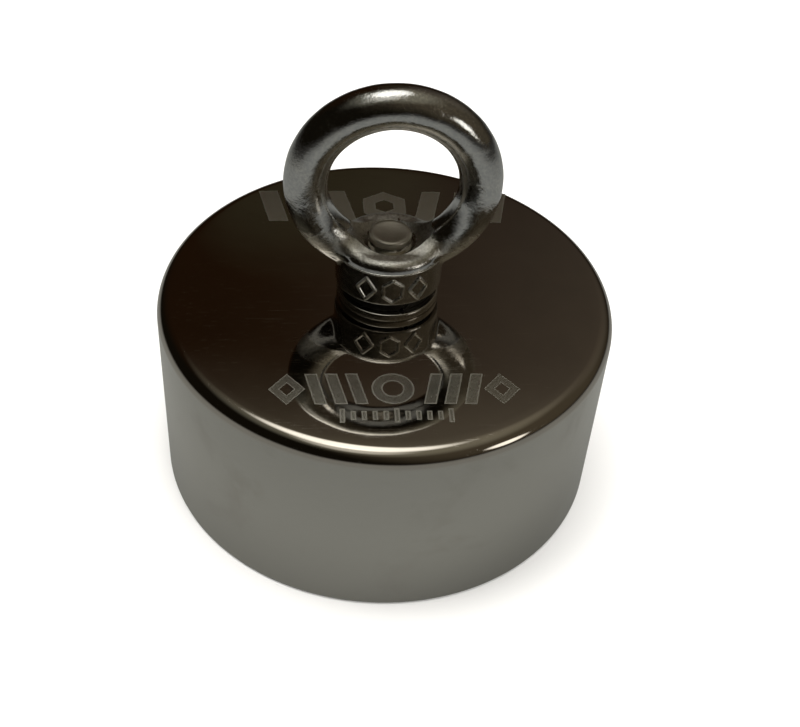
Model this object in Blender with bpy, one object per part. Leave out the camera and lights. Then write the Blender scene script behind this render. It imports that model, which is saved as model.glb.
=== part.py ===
"""Magnet-fishing magnet: a thick steel pot around stacked ring magnets, with a screwed-on eye nut.

Metres, +Z up. The origin is the centre of the pulling face, and +Z is the pull axis. The eye's ring
lies in the XZ plane. One object for each piece, from the pulling face up to the eye.
"""

import math

import bmesh
import bpy

# Clearances
SEAT_GAP = 0.0001  # between two faces that rest on each other
GLUE_GAP = 0.0001  # bonding film around the magnets
THREAD_CLEARANCE = 0.00015  # radial, between the bolt's and the nut's threads
WASHER_CLEARANCE = 0.00025  # radial, between a washer's bore and the bolt
STEM_CLEARANCE = 0.0004  # radial, between a through hole and the bolt's stem

# Pot
POT_RADIUS = 0.045
POT_HEIGHT = 0.042
POT_WALL = 0.009
POT_CEILING = 0.012
POT_TOP_FILLET = 0.0031
POT_FOOT_FILLET = 0.0008
POT_CROWN = 0.00045  # how far the top plate falls from its seat to its rounded edge
POT_SEAT_MARGIN = 0.002  # flat land around the flat washer
CAVITY_FILLET = 0.0015

# Magnets and what fills the space around them
MAGNET_COUNT = 3
FACE_RECESS = 0.0006  # the magnets' face lies this far inside the rim
EPOXY_WIDTH = 0.003
CENTRING_RING_HEIGHT = 0.006
MAGNET_EDGE = 0.0004  # chamfer of a magnet's edges

# Countersunk bolt, M10 with a hexagon socket
THREAD_RADIUS = 0.005
THREAD_PITCH = 0.0015
THREAD_LENGTH = 0.032
THREAD_DEPTH_SHARE = 0.613  # a metric thread's depth, in pitches
CREST_ALLOWANCE = 0.00005  # how far the bolt's crests lie inside the nominal thread
STEM_ALLOWANCE = 0.0003  # how much thinner than the thread the stem's radius is
HEAD_FLANGE = 0.005  # how much wider than the thread the head's radius is
HEAD_LAND = 0.0005  # short cylinder at the head's widest
HEAD_RECESS = 0.001  # the head lies this far inside the rim
SOCKET_ACROSS_FLATS = 0.006
SOCKET_DEPTH = 0.0036
SOCKET_CONE_SHARE = 0.33  # height of the drill's cone at the socket's end, in socket radii
BOLT_POINT_LENGTH = 0.002  # plain round point past the thread
BOLT_POINT_CHAMFER = 0.0003
BOLT_PROUD = 0.0013  # how far the bolt's end stands out of the eye nut

# Countersunk steel washer and spacer bush in the magnets' bore
FACE_WASHER_RIM = 0.0018  # width of the washer's flat around the bolt's head
FACE_WASHER_BACKING = 0.0015  # steel left above the head's cone
BUSH_WALL = 0.003

# Flat washer and spring lock washer under the eye nut
FLAT_WASHER_WIDTH = 0.0047
FLAT_WASHER_THICKNESS = 0.0015
FLAT_WASHER_EDGE = 0.0003
SPRING_WASHER_WIDTH = 0.0035
SPRING_WASHER_THICKNESS = 0.0016
SPRING_WASHER_SLIT = 0.0012
SPRING_WASHER_SLIT_TURN_DEG = 19  # the slit's place, from -Y towards +X

# Eye nut
EYE_HOLE_RADIUS = 0.0121
EYE_BAR_RADIUS = 0.0041
COLLAR_LIP = 0.0016  # the ring's lowest point lies this far above the collar's underside
EYE_STEP = 0.0003  # the ring's inside stands this far above the collar's top
COLLAR_WALL_FOOT = 0.00425  # wall around the thread at the collar's underside, front and back
COLLAR_WALL_TOP = 0.0043  # the same at the collar's widest
COLLAR_OVAL = 1.12  # how much wider the collar is along the ring than front to back
COLLAR_FOOT_CHAMFER = 0.0004
COLLAR_TOP_FILLET = 0.0016
NUT_MOUTH_CHAMFER = 0.0003  # how much wider than the thread the bore's mouths are

# Facets
POT_SEGMENTS = 64
MAGNET_SEGMENTS = 48
FASTENER_SEGMENTS = 48
THREAD_SEGMENTS = 24
EYE_RING_SEGMENTS = 60
EYE_BAR_SEGMENTS = 20
FILLET_STEPS = 4
CROWN_STEPS = 3
COLUMN_SHIFT = 0.37  # keeps the threads' edges off the edges of what they are cut with
# One pitch of a thread's outline: rise in pitches, and 1 at the crest or 0 at the root
THREAD_OUTLINE = [(0.0, 1.0), (0.16, 1.0), (0.58, 0.0)]
CUT_MARGIN = 0.002  # how far a cutter reaches past what it cuts
MERGE_DISTANCE = 1e-7
SHARP_EDGE_DEG = 35

# Worked out from the sizes above
THREAD_DEPTH = THREAD_DEPTH_SHARE * THREAD_PITCH
BOLT_CREST_RADIUS = THREAD_RADIUS - CREST_ALLOWANCE
BOLT_ROOT_RADIUS = BOLT_CREST_RADIUS - THREAD_DEPTH
BOLT_POINT_RADIUS = BOLT_ROOT_RADIUS
STEM_RADIUS = THREAD_RADIUS - STEM_ALLOWANCE
HEAD_RADIUS = THREAD_RADIUS + HEAD_FLANGE
FACE_WASHER_RADIUS = HEAD_RADIUS + SEAT_GAP + FACE_WASHER_RIM
MAGNET_BORE_RADIUS = FACE_WASHER_RADIUS + GLUE_GAP
CAVITY_RADIUS = POT_RADIUS - POT_WALL
CAVITY_TOP = POT_HEIGHT - POT_CEILING
MAGNET_RADIUS = CAVITY_RADIUS - EPOXY_WIDTH
WASHER_BORE_RADIUS = THREAD_RADIUS + WASHER_CLEARANCE
FLAT_WASHER_RADIUS = WASHER_BORE_RADIUS + FLAT_WASHER_WIDTH
FLAT_WASHER_FOOT = POT_HEIGHT + SEAT_GAP
SPRING_WASHER_FOOT = FLAT_WASHER_FOOT + FLAT_WASHER_THICKNESS + SEAT_GAP
COLLAR_FOOT = SPRING_WASHER_FOOT + SPRING_WASHER_THICKNESS + SEAT_GAP
COLLAR_TOP = COLLAR_FOOT + COLLAR_LIP + 2 * EYE_BAR_RADIUS - EYE_STEP
EYE_CENTRE_HEIGHT = COLLAR_TOP + EYE_STEP + EYE_HOLE_RADIUS
BOLT_END = COLLAR_TOP + BOLT_PROUD
THREAD_START = BOLT_END - THREAD_LENGTH
PULL_AXIS = (0.0, 0.0, 1.0)


def clear_scene():
    for leftover in list(bpy.data.objects):
        bpy.data.objects.remove(leftover, do_unlink=True)


def finish_material(name, colour, roughness, metallic):
    """A Principled BSDF with one colour, roughness and metallic value."""
    material = bpy.data.materials.new(name)
    material.use_nodes = True
    shader = material.node_tree.nodes["Principled BSDF"]
    shader.inputs["Base Color"].default_value = (*colour, 1.0)
    shader.inputs["Roughness"].default_value = roughness
    shader.inputs["Metallic"].default_value = metallic
    return material


def make_object(name, mesh_builder, material):
    """Turns a finished bmesh into a named object with outward faces and smooth round sides."""
    bmesh.ops.recalc_face_normals(mesh_builder, faces=mesh_builder.faces)
    mesh = bpy.data.meshes.new(name)
    mesh_builder.to_mesh(mesh)
    mesh_builder.free()
    mesh.shade_smooth()
    mesh.set_sharp_from_angle(angle=math.radians(SHARP_EDGE_DEG))
    if material:
        mesh.materials.append(material)
    made = bpy.data.objects.new(name, mesh)
    bpy.context.scene.collection.objects.link(made)
    return made


def make_cutter(name, mesh_builder):
    """An object that only shapes other objects."""
    cutter = make_object(name, mesh_builder, None)
    cutter.hide_render = True
    cutter.display_type = "WIRE"
    return cutter


def combine(target, tool, operation):
    """Adds an exact Boolean of target and tool to target."""
    modifier = target.modifiers.new(tool.name, "BOOLEAN")
    modifier.operation = operation
    modifier.solver = "EXACT"
    modifier.object = tool


def arc(centre, radius, start_deg, end_deg, steps):
    """Points on an arc in the radius-height plane, both ends included."""
    points = []
    for step in range(steps + 1):
        angle = math.radians(start_deg + (end_deg - start_deg) * step / steps)
        points.append((centre[0] + radius * math.cos(angle), centre[1] + radius * math.sin(angle)))
    return points


def turned(profile, segments, closed=True):
    """Spins a (radius, height) outline about Z. An open outline starts and ends on the axis."""
    builder = bmesh.new()
    points = [builder.verts.new((radius, 0.0, height)) for radius, height in profile]
    edges = [builder.edges.new(pair) for pair in zip(points, points[1:])]
    if closed:
        edges.append(builder.edges.new((points[-1], points[0])))
    bmesh.ops.spin(
        builder, geom=points + edges, cent=(0.0, 0.0, 0.0), axis=PULL_AXIS,
        angle=math.tau, steps=segments, use_merge=True,
    )
    bmesh.ops.remove_doubles(builder, verts=builder.verts, dist=MERGE_DISTANCE)
    return builder


def chamfered_ring(inner, outer, foot, top, edge):
    """Outline of a flat ring whose outer edges are chamfered."""
    return [
        (inner, foot), (outer - edge, foot), (outer, foot + edge),
        (outer, top - edge), (outer - edge, top), (inner, top),
    ]


def ring_of_points(builder, radius, height):
    """One step of points around the axis for each column of a thread."""
    points = []
    for step in range(THREAD_SEGMENTS):
        angle = math.tau * (step + COLUMN_SHIFT) / THREAD_SEGMENTS
        points.append(builder.verts.new((radius * math.cos(angle), radius * math.sin(angle), height)))
    return points


def join_rings(builder, lower, upper):
    for index, point in enumerate(lower):
        after = (index + 1) % len(lower)
        builder.faces.new((point, lower[after], upper[after], upper[index]))


def thread_columns(builder, first_turn, turns, limit):
    """The surface of a right-hand thread from one whole number of pitches above the origin on.

    Each column of points is the thread's outline, one step round and that share of a pitch higher
    than the last, so edges run along the crests. limit(crest_share, height) gives a point's radius.
    """
    columns = []
    for step in range(THREAD_SEGMENTS):
        around = (step + COLUMN_SHIFT) / THREAD_SEGMENTS
        angle = math.tau * around
        column = []
        for turn in range(turns):
            for rise, crest_share in THREAD_OUTLINE:
                height = (first_turn + turn + around + rise) * THREAD_PITCH
                radius = limit(crest_share, height)
                place = (radius * math.cos(angle), radius * math.sin(angle), height)
                column.append(builder.verts.new(place))
        columns.append(column)
    for here, beside in zip(columns, columns[1:]):
        for index in range(len(here) - 1):
            builder.faces.new((here[index], beside[index], beside[index + 1], here[index + 1]))
    last, first, lead = columns[-1], columns[0], len(THREAD_OUTLINE)
    for index in range(len(last) - 1 - lead):
        over = index + lead
        builder.faces.new((last[index], first[over], first[over + 1], last[index + 1]))
    return columns


def close_thread_foot(builder, columns, ring):
    """Joins a thread's helical lower edge to a level ring of points below it."""
    lead = len(THREAD_OUTLINE)
    for index in range(THREAD_SEGMENTS - 1):
        here, beside = columns[index], columns[index + 1]
        builder.faces.new((ring[index], ring[index + 1], beside[0], here[0]))
    builder.faces.new([ring[-1], ring[0]] + columns[0][: lead + 1] + [columns[-1][0]])


def close_thread_top(builder, columns, ring):
    """Joins a thread's helical upper edge to a level ring of points above it."""
    lead = len(THREAD_OUTLINE)
    for index in range(THREAD_SEGMENTS - 1):
        here, beside = columns[index], columns[index + 1]
        builder.faces.new((here[-1], beside[-1], ring[index + 1], ring[index]))
    seam = columns[-1][-1 - lead:]
    builder.faces.new([seam[0], columns[0][-1], ring[0], ring[-1]] + seam[:0:-1])


def thread_cutter(crest_radius, root_radius, low, high):
    """A threaded rod that reaches past low and high, for cutting a bore that the bolt screws into."""
    builder = bmesh.new()
    first_turn = math.floor((low - CUT_MARGIN) / THREAD_PITCH) - 1
    turns = math.ceil((high + CUT_MARGIN) / THREAD_PITCH) + 1 - first_turn

    def full_depth(crest_share, height):
        return root_radius + (crest_radius - root_radius) * crest_share

    columns = thread_columns(builder, first_turn, turns, full_depth)
    foot = ring_of_points(builder, root_radius, (first_turn - 1) * THREAD_PITCH)
    top = ring_of_points(builder, root_radius, (first_turn + turns + 2) * THREAD_PITCH)
    close_thread_foot(builder, columns, foot)
    close_thread_top(builder, columns, top)
    builder.faces.new(foot[::-1])
    builder.faces.new(top)
    return builder


def build_pot(material):
    """Steel pot: thick top plate with a stem hole, rounded edges and a deep cavity."""
    hole = STEM_RADIUS + STEM_CLEARANCE
    seat = FLAT_WASHER_RADIUS + POT_SEAT_MARGIN
    edge = POT_RADIUS - POT_TOP_FILLET
    edge_height = POT_HEIGHT - POT_CROWN
    profile = [(hole, CAVITY_TOP), (hole, POT_HEIGHT)]
    for step in range(CROWN_STEPS):
        share = step / CROWN_STEPS
        profile.append((seat + (edge - seat) * share, POT_HEIGHT - POT_CROWN * share**3))
    profile += arc((edge, edge_height - POT_TOP_FILLET), POT_TOP_FILLET, 90, 0, FILLET_STEPS)
    profile += arc((POT_RADIUS - POT_FOOT_FILLET, POT_FOOT_FILLET), POT_FOOT_FILLET, 0, -90, 2)
    profile += [(CAVITY_RADIUS, 0.0)]
    profile += arc(
        (CAVITY_RADIUS - CAVITY_FILLET, CAVITY_TOP - CAVITY_FILLET), CAVITY_FILLET, 0, 90, 2
    )
    return make_object("pot", turned(profile, POT_SEGMENTS), material)


def build_magnets(material):
    """Stack of equal ring magnets that fills the cavity from its ceiling to the face."""
    height = (CAVITY_TOP - FACE_RECESS) / MAGNET_COUNT - GLUE_GAP
    places = ["lower", "middle", "upper"]
    for index in range(MAGNET_COUNT):
        name = f"magnet_ring_{places[index] if MAGNET_COUNT == len(places) else index + 1}"
        foot = FACE_RECESS + index * (height + GLUE_GAP)
        profile = chamfered_ring(MAGNET_BORE_RADIUS, MAGNET_RADIUS, foot, foot + height, MAGNET_EDGE)
        make_object(name, turned(profile, MAGNET_SEGMENTS), material)


def build_fillings(epoxy, plastic):
    """Plastic ring that centres the magnets, and the potting that seals the gap below it."""
    inner, outer = MAGNET_RADIUS + GLUE_GAP, CAVITY_RADIUS - GLUE_GAP
    top = CAVITY_TOP - GLUE_GAP
    step = top - CENTRING_RING_HEIGHT
    ring = chamfered_ring(inner, outer, step, top, CAVITY_FILLET)
    make_object("centring_ring", turned(ring, POT_SEGMENTS), plastic)
    potting = [
        (inner, FACE_RECESS), (outer, FACE_RECESS), (outer, step - GLUE_GAP), (inner, step - GLUE_GAP),
    ]
    make_object("epoxy_ring", turned(potting, POT_SEGMENTS), epoxy)


def head_outline(grow):
    """The bolt head's cone and land from the rim side up to the stem, grown outward by grow."""
    stem = STEM_RADIUS + grow
    widest = HEAD_RADIUS + grow
    land_top = HEAD_RECESS + HEAD_LAND
    return [(widest, HEAD_RECESS), (widest, land_top), (stem, land_top + widest - stem)]


def build_face_washer(material):
    """Steel washer that takes the bolt's head, flush with the magnets' face."""
    stem_height = head_outline(SEAT_GAP)[-1][1]
    top = stem_height + FACE_WASHER_BACKING
    bore = STEM_RADIUS + STEM_CLEARANCE
    widest, cone_foot = head_outline(SEAT_GAP)[1]
    profile = [
        (FACE_WASHER_RADIUS, FACE_RECESS), (FACE_WASHER_RADIUS, top), (bore, top),
        (bore, cone_foot + widest - bore), (widest, cone_foot), (widest, FACE_RECESS),
    ]
    make_object("countersunk_washer", turned(profile, FASTENER_SEGMENTS), material)
    return top


def build_bush(foot, material):
    """Spacer bush that carries the bolt's pull from the countersunk washer to the top plate."""
    bore = STEM_RADIUS + STEM_CLEARANCE
    profile = chamfered_ring(
        bore, bore + BUSH_WALL, foot + SEAT_GAP, CAVITY_TOP - SEAT_GAP, MAGNET_EDGE
    )
    make_object("spacer_bush", turned(profile, FASTENER_SEGMENTS), material)


def bolt_body():
    """Countersunk head, plain stem, thread with a run-out at its foot, and a plain round point."""
    builder = bmesh.new()
    point_foot = BOLT_END - BOLT_POINT_LENGTH
    first_turn = math.ceil(THREAD_START / THREAD_PITCH)
    turns = math.floor(BOLT_END / THREAD_PITCH) - 1 - first_turn
    thread_foot = first_turn * THREAD_PITCH

    def limit(crest_share, height):
        depth_share = min(max((height - thread_foot) / THREAD_PITCH - 1, 0), 1)
        full = BOLT_ROOT_RADIUS + (BOLT_CREST_RADIUS - BOLT_ROOT_RADIUS) * crest_share
        run_out = STEM_RADIUS + (full - STEM_RADIUS) * depth_share
        return min(run_out, BOLT_POINT_RADIUS + max(point_foot - height, 0))

    columns = thread_columns(builder, first_turn, turns, limit)
    outline = head_outline(0.0) + [(STEM_RADIUS, thread_foot - THREAD_PITCH)]
    rings = [ring_of_points(builder, radius, height) for radius, height in outline]
    for lower, upper in zip(rings, rings[1:]):
        join_rings(builder, lower, upper)
    point = ring_of_points(builder, BOLT_POINT_RADIUS, BOLT_END - BOLT_POINT_CHAMFER)
    end = ring_of_points(builder, BOLT_POINT_RADIUS - BOLT_POINT_CHAMFER, BOLT_END)
    join_rings(builder, point, end)
    close_thread_foot(builder, columns, rings[-1])
    close_thread_top(builder, columns, point)
    builder.faces.new(rings[0][::-1])
    builder.faces.new(end)
    return builder


def build_bolt(material):
    """Countersunk socket screw through the pot; its end shows inside the eye."""
    bolt = make_object("countersunk_bolt", bolt_body(), material)
    combine(bolt, make_cutter("bolt_socket", hexagon_socket()), "DIFFERENCE")


def hexagon_socket():
    """Six-sided hole for the key, with the drill's cone at its end."""
    corner = SOCKET_ACROSS_FLATS / math.sqrt(3)
    end = HEAD_RECESS + SOCKET_DEPTH
    profile = [
        (0.0, HEAD_RECESS - CUT_MARGIN), (corner, HEAD_RECESS - CUT_MARGIN),
        (corner, end), (0.0, end + corner * SOCKET_CONE_SHARE),
    ]
    return turned(profile, 6, closed=False)


def build_flat_washer(material):
    profile = chamfered_ring(
        WASHER_BORE_RADIUS, FLAT_WASHER_RADIUS, FLAT_WASHER_FOOT,
        FLAT_WASHER_FOOT + FLAT_WASHER_THICKNESS, FLAT_WASHER_EDGE,
    )
    make_object("flat_washer", turned(profile, FASTENER_SEGMENTS), material)


def build_spring_washer(material):
    """Split lock washer, pressed flat, with a slit cut on the slant."""
    inner, outer = WASHER_BORE_RADIUS, WASHER_BORE_RADIUS + SPRING_WASHER_WIDTH
    foot, top = SPRING_WASHER_FOOT, SPRING_WASHER_FOOT + SPRING_WASHER_THICKNESS
    profile = [(inner, foot), (outer, foot), (outer, top), (inner, top)]
    washer = make_object("spring_washer", turned(profile, FASTENER_SEGMENTS), material)
    half, lean = SPRING_WASHER_SLIT / 2, SPRING_WASHER_THICKNESS / 2
    builder = bmesh.new()
    low, high = foot - CUT_MARGIN, top + CUT_MARGIN
    slope = lean * (high - low) / SPRING_WASHER_THICKNESS / 2
    ends = []
    for reach in (0.0, -outer - CUT_MARGIN):
        corners = ((-half - slope, low), (half - slope, low), (half + slope, high), (-half + slope, high))
        ends.append([builder.verts.new((across, reach, height)) for across, height in corners])
    near, far = ends
    builder.faces.new(near)
    builder.faces.new(far)
    for index in range(4):
        after = (index + 1) % 4
        builder.faces.new((near[index], near[after], far[after], far[index]))
    slit = make_cutter("spring_washer_slit", builder)
    slit.rotation_euler.z = math.radians(SPRING_WASHER_SLIT_TURN_DEG)
    combine(washer, slit, "DIFFERENCE")


def eye_ring():
    """The eye's round bar, bent to a full ring in the XZ plane."""
    builder = bmesh.new()
    centre_radius = EYE_HOLE_RADIUS + EYE_BAR_RADIUS
    loops = []
    for step in range(EYE_RING_SEGMENTS):
        around = math.tau * step / EYE_RING_SEGMENTS
        loop = []
        for turn in range(EYE_BAR_SEGMENTS):
            angle = math.tau * turn / EYE_BAR_SEGMENTS
            reach = centre_radius + EYE_BAR_RADIUS * math.cos(angle)
            depth = EYE_BAR_RADIUS * math.sin(angle)
            height = EYE_CENTRE_HEIGHT + reach * math.sin(around)
            loop.append(builder.verts.new((reach * math.cos(around), depth, height)))
        loops.append(loop)
    for here, beside in zip(loops, loops[1:] + loops[:1]):
        for index in range(EYE_BAR_SEGMENTS):
            after = (index + 1) % EYE_BAR_SEGMENTS
            builder.faces.new((here[index], here[after], beside[after], beside[index]))
    return builder


def build_eye_nut(material):
    """Forged lifting eye: oval collar with a threaded bore, and the ring that takes the rope."""
    foot_radius = THREAD_RADIUS + COLLAR_WALL_FOOT
    top_radius = THREAD_RADIUS + COLLAR_WALL_TOP
    collar = [
        (0.0, COLLAR_FOOT), (foot_radius - COLLAR_FOOT_CHAMFER, COLLAR_FOOT),
        (foot_radius, COLLAR_FOOT + COLLAR_FOOT_CHAMFER),
    ]
    collar += arc(
        (top_radius - COLLAR_TOP_FILLET, COLLAR_TOP - COLLAR_TOP_FILLET), COLLAR_TOP_FILLET, 0, 90,
        FILLET_STEPS,
    )
    collar += [(0.0, COLLAR_TOP)]
    blank = turned(collar, FASTENER_SEGMENTS, closed=False)
    bmesh.ops.scale(blank, vec=(COLLAR_OVAL, 1.0, 1.0), verts=blank.verts)
    nut = make_object("eye_nut", blank, material)
    combine(nut, make_cutter("eye_nut_ring", eye_ring()), "UNION")
    crest, root = BOLT_CREST_RADIUS + THREAD_CLEARANCE, BOLT_ROOT_RADIUS + THREAD_CLEARANCE
    bore = thread_cutter(crest, root, COLLAR_FOOT, COLLAR_TOP)
    combine(nut, make_cutter("eye_nut_thread", bore), "DIFFERENCE")
    mouth = crest + NUT_MOUTH_CHAMFER
    for name, face, outward in (("foot", COLLAR_FOOT, -1), ("top", COLLAR_TOP, 1)):
        apex, past = face - outward * mouth, face + outward * CUT_MARGIN
        cone = [(0.0, apex), (mouth + CUT_MARGIN, past), (0.0, past)]
        cutter = make_cutter(f"eye_nut_mouth_{name}", turned(cone, FASTENER_SEGMENTS, closed=False))
        combine(nut, cutter, "DIFFERENCE")


def main():
    clear_scene()
    polished = finish_material("polished_nickel_steel", (0.48, 0.46, 0.42), 0.12, 1.0)
    nickel = finish_material("nickel_plated_magnet", (0.66, 0.64, 0.60), 0.30, 1.0)
    stainless = finish_material("stainless_steel", (0.60, 0.59, 0.57), 0.22, 1.0)
    zinc = finish_material("zinc_plated_steel", (0.58, 0.59, 0.60), 0.35, 1.0)
    brass = finish_material("brass", (0.72, 0.56, 0.28), 0.35, 1.0)
    epoxy = finish_material("black_epoxy", (0.02, 0.02, 0.022), 0.45, 0.0)
    plastic = finish_material("white_nylon", (0.75, 0.73, 0.68), 0.55, 0.0)
    build_pot(polished)
    build_magnets(nickel)
    build_fillings(epoxy, plastic)
    washer_top = build_face_washer(zinc)
    build_bush(washer_top, brass)
    build_bolt(stainless)
    build_flat_washer(stainless)
    build_spring_washer(stainless)
    build_eye_nut(stainless)


main()
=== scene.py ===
"""Looks for the magnet-fishing magnet: turned steel pot, lifting eye, washers, bolt and pulling face."""

import math

import bmesh
import bpy
import numpy as np
from mathutils import Matrix, Vector


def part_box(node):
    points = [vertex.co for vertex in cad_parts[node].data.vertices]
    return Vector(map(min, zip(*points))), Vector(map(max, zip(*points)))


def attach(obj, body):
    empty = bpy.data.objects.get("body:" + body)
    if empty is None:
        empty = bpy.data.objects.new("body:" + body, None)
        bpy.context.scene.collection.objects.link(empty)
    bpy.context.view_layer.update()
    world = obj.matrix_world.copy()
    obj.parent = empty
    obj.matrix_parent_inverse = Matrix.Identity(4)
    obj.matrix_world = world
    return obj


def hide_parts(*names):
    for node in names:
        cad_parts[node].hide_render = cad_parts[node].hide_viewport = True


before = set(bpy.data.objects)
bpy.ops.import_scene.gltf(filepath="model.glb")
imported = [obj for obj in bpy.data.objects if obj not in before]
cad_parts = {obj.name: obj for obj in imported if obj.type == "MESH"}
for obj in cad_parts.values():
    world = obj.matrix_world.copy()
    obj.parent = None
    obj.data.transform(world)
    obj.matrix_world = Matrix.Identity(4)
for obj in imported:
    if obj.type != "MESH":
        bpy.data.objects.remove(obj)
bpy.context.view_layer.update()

MM = 0.001

# Places and sizes that the frame gives
POT_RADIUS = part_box("pot")[1].x
POT_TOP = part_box("pot")[1].z
WASHER_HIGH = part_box("flat_washer")[1]
SPRING_LOW, SPRING_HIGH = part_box("spring_washer")
NUT_LOW, NUT_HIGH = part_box("eye_nut")
BOLT_LOW, BOLT_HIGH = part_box("countersunk_bolt")
MAGNET_LOW, MAGNET_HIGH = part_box("magnet_ring_lower")
EPOXY_LOW, EPOXY_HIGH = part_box("epoxy_ring")
FACE_WASHER_LOW, FACE_WASHER_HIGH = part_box("countersunk_washer")
CAVITY_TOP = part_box("magnet_ring_upper")[1].z + 0.1 * MM

# Sizes that the frame's boxes don't give
CAVITY_RADIUS = 36 * MM
CAVITY_FILLET = 1.5 * MM
STEM_HOLE_RADIUS = 5.1 * MM
TOP_FILLET = 3.1 * MM
FOOT_FILLET = 0.8 * MM
PLATE_FLAT_RADIUS = 12 * MM
PLATE_CROWN = 0.45 * MM
PLATE_CROWN_POWER = 3.0
THREAD_PITCH = 1.5 * MM
THREAD_CREST = 4.95 * MM
THREAD_ROOT = 4.03 * MM
CREST_MIDDLE = 0.08  # the crest's middle lies this share of a pitch above each whole turn
THREAD_LENGTH = 32 * MM
BOLT_STEM_RADIUS = 4.7 * MM
POINT_RADIUS = 4.03 * MM
POINT_LENGTH = 2.0 * MM
POINT_ROUND = 0.5 * MM
THREAD_CLEARANCE = 0.12 * MM
EYE_BAR_RADIUS = 4.1 * MM
COLLAR_FOOT_RADIUS = 9.2 * MM
COLLAR_OVAL = 1.12  # how much wider the collar is along the ring than front to back
COLLAR_PARTING = 52.7 * MM  # height of the forging's parting line
COLLAR_TOP = 54.9 * MM
COLLAR_TOP_ROUND = 1.5 * MM
COLLAR_FOOT_ROUND = 0.4 * MM
COLLAR_DRAW_IN = 0.5 * MM
MOUTH_CHAMFER = 0.75 * MM
WASHER_BORE = 5.25 * MM
SLIT_TURN_DEG = 19  # the spring washer's slit, from -Y towards +X
SLIT_HALF = 0.55 * MM
SLIT_LEAN = 1.7 * MM
HEAD_RADIUS = 10 * MM
HEAD_LAND = 0.5 * MM
SOCKET_CORNER = 6 * MM / math.sqrt(3)
SOCKET_DEPTH = 3.6 * MM
ROUND_SEGMENTS = 256
PULL_AXIS = Vector((0, 0, 1))

# Camera, in the frame
CAMERA_PLACE = Vector((-0.01792, -0.19319, 0.20227))
CAMERA_AIM = Vector((0.00127, -0.02153, 0.042))
CAMERA_ROLL_DEG = 4.32
CAMERA_LENS_MM = 57.27


# ---------------------------------------------------------------- materials

class Graph:
    """Short calls for adding nodes to one material."""

    def __init__(self, name):
        self.material = bpy.data.materials.new(name)
        self.material.use_nodes = True
        self.tree = self.material.node_tree
        self.shader = self.tree.nodes["Principled BSDF"]
        self.place = self.tree.nodes.new("ShaderNodeTexCoord").outputs["Object"]

    def put(self, socket, value):
        if isinstance(value, bpy.types.NodeSocket):
            self.tree.links.new(value, socket)
        elif value is not None:
            socket.default_value = value

    def math(self, operation, first, second=None, third=None):
        node = self.tree.nodes.new("ShaderNodeMath")
        node.operation = operation
        for socket, value in zip(node.inputs, (first, second, third)):
            self.put(socket, value)
        return node.outputs[0]

    def noise(self, scale, detail=3.0, rough=0.5, distortion=0.0, vector=None):
        node = self.tree.nodes.new("ShaderNodeTexNoise")
        self.put(node.inputs["Vector"], vector or self.place)
        node.inputs["Scale"].default_value = scale
        node.inputs["Detail"].default_value = detail
        node.inputs["Roughness"].default_value = rough
        node.inputs["Distortion"].default_value = distortion
        return node.outputs["Fac"]

    def spread(self, value, low, high, out_low, out_high):
        """Maps low..high to out_low..out_high, held at both ends."""
        node = self.tree.nodes.new("ShaderNodeMapRange")
        for socket, number in zip(node.inputs, (value, low, high, out_low, out_high)):
            self.put(socket, number)
        return node.outputs[0]

    def parts(self):
        """X, Y and Z of the object coordinates."""
        node = self.tree.nodes.new("ShaderNodeSeparateXYZ")
        self.put(node.inputs[0], self.place)
        return node.outputs

    def joined(self, x, y, z):
        node = self.tree.nodes.new("ShaderNodeCombineXYZ")
        for socket, value in zip(node.inputs, (x, y, z)):
            self.put(socket, value)
        return node.outputs[0]

    def from_axis(self, x, y):
        """Distance from the pull axis."""
        squares = self.math("ADD", self.math("MULTIPLY", x, x), self.math("MULTIPLY", y, y))
        return self.math("SQRT", squares)

    def around(self, radial, angular, axial):
        """Radius, angle and height about the pull axis, each scaled, for turned marks."""
        x, y, z = self.parts()
        angle = self.math("ARCTAN2", y, x)
        return self.joined(
            self.math("MULTIPLY", self.from_axis(x, y), radial), self.math("MULTIPLY", angle, angular),
            self.math("MULTIPLY", z, axial),
        )

    def mixed(self, share, first, second):
        """Colour between first and second."""
        node = self.tree.nodes.new("ShaderNodeMix")
        node.data_type = "RGBA"
        self.put(node.inputs["Factor"], share)
        self.put(node.inputs["A"], (*first, 1) if isinstance(first, tuple) else first)
        self.put(node.inputs["B"], (*second, 1) if isinstance(second, tuple) else second)
        return node.outputs["Result"]

    def bump(self, height, distance, strength=1.0, under=None):
        node = self.tree.nodes.new("ShaderNodeBump")
        node.inputs["Strength"].default_value = strength
        node.inputs["Distance"].default_value = distance
        self.put(node.inputs["Height"], height)
        if under:
            self.put(node.inputs["Normal"], under)
        return node.outputs[0]

    def finish(self, colour, roughness, metallic=1.0, normal=None):
        self.put(self.shader.inputs["Base Color"], (*colour, 1) if isinstance(colour, tuple) else colour)
        self.put(self.shader.inputs["Roughness"], roughness)
        self.shader.inputs["Metallic"].default_value = metallic
        if normal:
            self.put(self.shader.inputs["Normal"], normal)
        return self.material


def scratches(graph, seed_shift, length, width, rarity):
    """Thin straight scratches in one direction: near 1 on a scratch and 0 off it."""
    node = graph.tree.nodes.new("ShaderNodeMapping")
    graph.put(node.inputs["Vector"], graph.place)
    node.inputs["Rotation"].default_value = (0.3 * seed_shift, 0.2 * seed_shift, 0.9 * seed_shift)
    node.inputs["Scale"].default_value = (1 / length, 1 / width, 1 / width)
    lines = graph.noise(1.0, detail=1.0, rough=0.4, vector=node.outputs[0])
    return graph.spread(lines, rarity, rarity + 0.03, 0.0, 1.0)


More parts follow.
